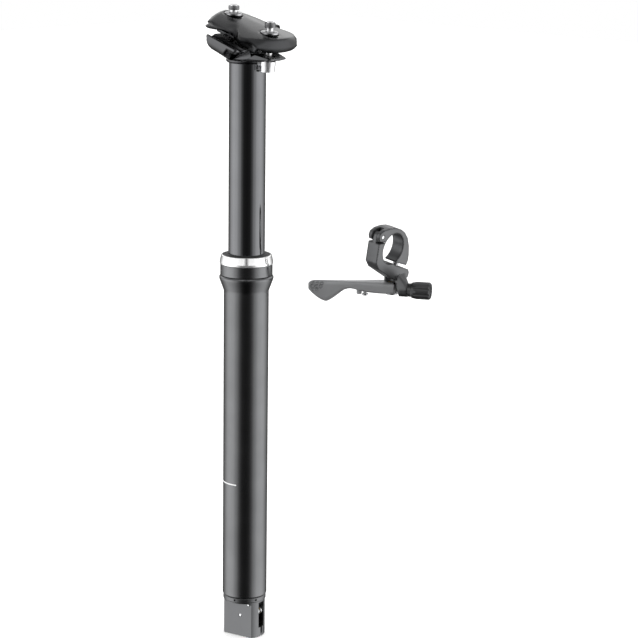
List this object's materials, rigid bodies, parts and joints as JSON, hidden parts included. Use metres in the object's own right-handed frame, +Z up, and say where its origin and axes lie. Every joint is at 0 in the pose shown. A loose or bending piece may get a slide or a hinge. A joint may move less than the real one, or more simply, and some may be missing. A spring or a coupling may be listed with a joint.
{
  "type": "dropper seatpost",
  "caption": "Telescopic bicycle seatpost with a gas spring, a two-bolt tilting saddle clamp, a cable actuator in its foot and a separate thumb remote for the handlebar.",
  "frame": {"origin": "on the post's axis, where the straight lower tube meets the collar flare", "axes": "+Z up along the post, +X towards the saddle's nose, +Y to the rider's left"},
  "size_m": [0.1118, 0.1289, 0.4406],
  "materials": {
    "tube_black": "satin black anodised",
    "collar_black": "satin black anodised",
    "stanchion_black": "hard black anodised, polished",
    "clamp_black": "forged and black anodised",
    "housing_black": "machined and black anodised",
    "remote_black": "forged and black anodised",
    "bright_ring": "bright turned",
    "bolt_steel": "zinc plated",
    "pin_steel": "polished",
    "bare_aluminium": "clear anodised",
    "brass": "machined",
    "bearing_plastic": "moulded",
    "seal_rubber": "moulded"
  },
  "bodies": {
    "root": {"outer_tube": "tube_black", "collar_nut": "collar_black", "accent_ring": "bright_ring", "wiper_seal": "seal_rubber", "upper_bushing": "bearing_plastic", "collar_oring": "seal_rubber", "topout_bumper": "seal_rubber", "lock_ring": "housing_black", "actuator_housing": "housing_black", "lever_pivot_pin": "pin_steel", "lever_stop_pin": "pin_steel", "gas_rod": "pin_steel", "main_piston": "brass", "remote_bracket": "remote_black", "remote_hinge_pin": "pin_steel", "remote_bolt": "bolt_steel", "thumb_pivot_pin": "bolt_steel", "thumb_spring": "pin_steel"},
    "stanchion": {"stanchion": "stanchion_black", "guide_ring": "bearing_plastic", "anti_rotation_keys": "brass", "gas_cylinder": "bare_aluminium", "cylinder_gland": "bare_aluminium", "cylinder_cap": "bare_aluminium", "head": "clamp_black", "cartridge_bolt": "bolt_steel"},
    "floating_piston": {"floating_piston": "bare_aluminium"},
    "actuator_lever": {"actuator_lever": "bare_aluminium", "cable_anchor": "brass", "anchor_grub_screw": "bolt_steel"},
    "valve_pin": {"valve_pin": "pin_steel"},
    "cradle": {"lower_cradle": "clamp_black"},
    "upper_clamp": {"upper_clamp": "clamp_black", "front_nut": "bolt_steel", "rear_nut": "bolt_steel"},
    "front_bolt": {"front_bolt": "bolt_steel"},
    "rear_bolt": {"rear_bolt": "bolt_steel"},
    "remote_cap": {"remote_cap": "remote_black"},
    "thumb_lever": {"thumb_lever": "remote_black", "pivot_bushing": "brass", "cable_screw": "bolt_steel"},
    "adjuster": {"adjuster_insert": "bare_aluminium", "adjuster_knob": "remote_black"}
  },
  "joints": [
    {"name": "dropper_slide", "type": "slide", "parent": "root", "child": "stanchion", "axis": [0, 0, 1], "range_m": [-0.125, 0], "stiffness_N_per_m": 40, "springref_m": 0.3},
    {"name": "floating_piston_slide", "type": "slide", "parent": "stanchion", "child": "floating_piston", "axis": [0, 0, 1], "range_m": [0, 0.03995]},
    {"name": "valve_pin_slide", "type": "slide", "parent": "root", "child": "valve_pin", "axis": [0, 0, 1], "range_m": [0, 0.00104], "stiffness_N_per_m": 500, "springref_m": -0.004},
    {"name": "actuator_lever_turn", "type": "hinge", "parent": "root", "child": "actuator_lever", "pos_m": [0.00215, 0.00048, -0.2318], "axis": [-0.2164, 0.9763, 0], "range_deg": [0, 18.2]},
    {"name": "saddle_tilt", "type": "hinge", "parent": "stanchion", "child": "cradle", "pos_m": [0, 0, 0.196], "axis": [0, 1, 0], "range_deg": [-4.06, 4.06]},
    {"name": "rail_clamp_slide", "type": "slide", "parent": "cradle", "child": "upper_clamp", "axis": [0.0698, 0, 0.9976], "range_m": [-0.0012, 0]},
    {"name": "front_bolt_slide", "type": "slide", "parent": "cradle", "child": "front_bolt", "axis": [0.0698, 0, 0.9976], "range_m": [-0.00155, 0.00155]},
    {"name": "rear_bolt_slide", "type": "slide", "parent": "cradle", "child": "rear_bolt", "axis": [0.0698, 0, 0.9976], "range_m": [-0.00095, 0.00095]},
    {"name": "remote_cap_hinge", "type": "hinge", "parent": "root", "child": "remote_cap", "pos_m": [0.06697, 0.0592, 0.04006], "axis": [-0.9832, -0.0774, 0.165], "range_deg": [0, 1.2]},
    {"name": "thumb_lever_turn", "type": "hinge", "parent": "root", "child": "thumb_lever", "pos_m": [0.05548, 0.08676, -0.0011], "axis": [0, 0, -1], "range_deg": [0, 25], "stiffness_Nm_per_rad": 0.05, "springref_deg": -17.19},
    {"name": "adjuster_turn", "type": "hinge", "parent": "root", "child": "adjuster", "pos_m": [0.07661, 0.09209, -0.0011], "axis": [0.8526, 0.5225, 0], "range_deg": [0, 1440]}
  ],
  "couplings": [
    {"joint": "floating_piston_slide", "follows": "dropper_slide", "ratio": -0.31641},
    {"joint": "actuator_lever_turn", "follows": "valve_pin_slide", "rad_per_m": 303.03},
    {"joint": "saddle_tilt", "follows": "front_bolt_slide", "rad_per_m": 45.081},
    {"joint": "rear_bolt_slide", "follows": "front_bolt_slide", "ratio": -0.60647}
  ]
}
